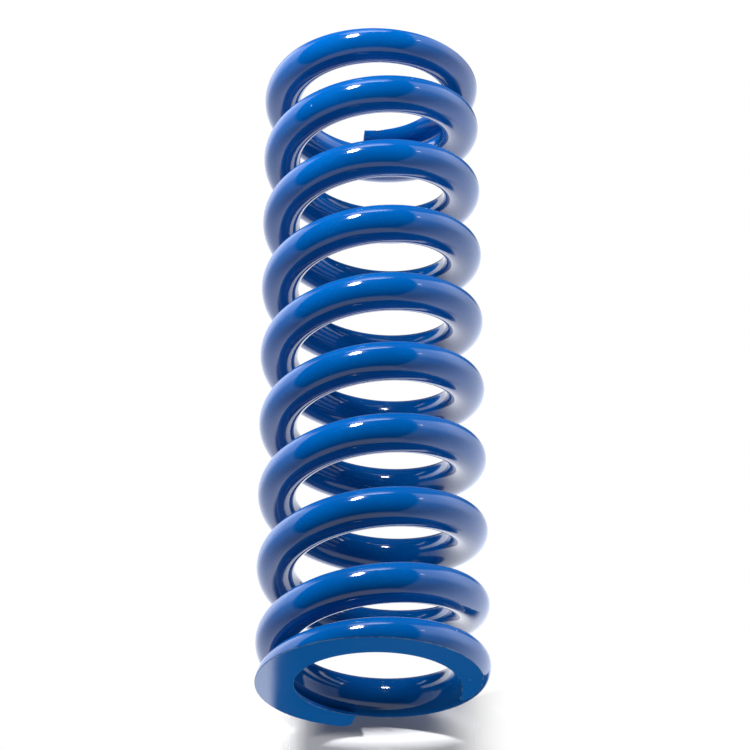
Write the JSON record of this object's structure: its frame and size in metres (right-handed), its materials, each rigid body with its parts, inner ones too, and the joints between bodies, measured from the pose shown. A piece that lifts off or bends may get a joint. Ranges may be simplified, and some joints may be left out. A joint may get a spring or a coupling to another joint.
{
  "type": "coil spring",
  "caption": "Compression coil spring of round wire, right-hand wound, with closed and ground ends, blue powder coated, split by coil so that it can shorten.",
  "frame": {"origin": "centre of the lower ground face, on the spring's axis", "axes": "+Z along the spring's axis from the lower ground face to the upper one; both wire tips lie towards +Y"},
  "size_m": [0.0997, 0.0997, 0.3029],
  "materials": {
    "powder_coat": "gloss"
  },
  "bodies": {
    "lower_end": {"lower_end_coil": "powder_coat"},
    "coil_1": {"active_coil_1": "powder_coat"},
    "coil_2": {"active_coil_2": "powder_coat"},
    "coil_3": {"active_coil_3": "powder_coat"},
    "coil_4": {"active_coil_4": "powder_coat"},
    "coil_5": {"active_coil_5": "powder_coat"},
    "coil_6": {"active_coil_6": "powder_coat"},
    "coil_7": {"active_coil_7": "powder_coat"},
    "upper_end": {"upper_end_coil": "powder_coat"}
  },
  "joints": [
    {"name": "compression", "type": "slide", "parent": "lower_end", "child": "upper_end", "axis": [0, 0, -1], "range_m": [0, 0.11], "stiffness_N_per_m": 174000},
    {"name": "coil_1_slide", "type": "slide", "parent": "lower_end", "child": "coil_1", "axis": [0, 0, -1], "range_m": [0, 0.0063]},
    {"name": "coil_2_slide", "type": "slide", "parent": "lower_end", "child": "coil_2", "axis": [0, 0, -1], "range_m": [0, 0.02253]},
    {"name": "coil_3_slide", "type": "slide", "parent": "lower_end", "child": "coil_3", "axis": [0, 0, -1], "range_m": [0, 0.03877]},
    {"name": "coil_4_slide", "type": "slide", "parent": "lower_end", "child": "coil_4", "axis": [0, 0, -1], "range_m": [0, 0.05501]},
    {"name": "coil_5_slide", "type": "slide", "parent": "lower_end", "child": "coil_5", "axis": [0, 0, -1], "range_m": [0, 0.07125]},
    {"name": "coil_6_slide", "type": "slide", "parent": "lower_end", "child": "coil_6", "axis": [0, 0, -1], "range_m": [0, 0.08749]},
    {"name": "coil_7_slide", "type": "slide", "parent": "lower_end", "child": "coil_7", "axis": [0, 0, -1], "range_m": [0, 0.10372]}
  ],
  "couplings": [
    {"joint": "coil_1_slide", "follows": "compression", "ratio": 0.057143},
    {"joint": "coil_2_slide", "follows": "compression", "ratio": 0.20476},
    {"joint": "coil_3_slide", "follows": "compression", "ratio": 0.35238},
    {"joint": "coil_4_slide", "follows": "compression", "ratio": 0.5},
    {"joint": "coil_5_slide", "follows": "compression", "ratio": 0.64762},
    {"joint": "coil_6_slide", "follows": "compression", "ratio": 0.79524},
    {"joint": "coil_7_slide", "follows": "compression", "ratio": 0.94286}
  ]
}
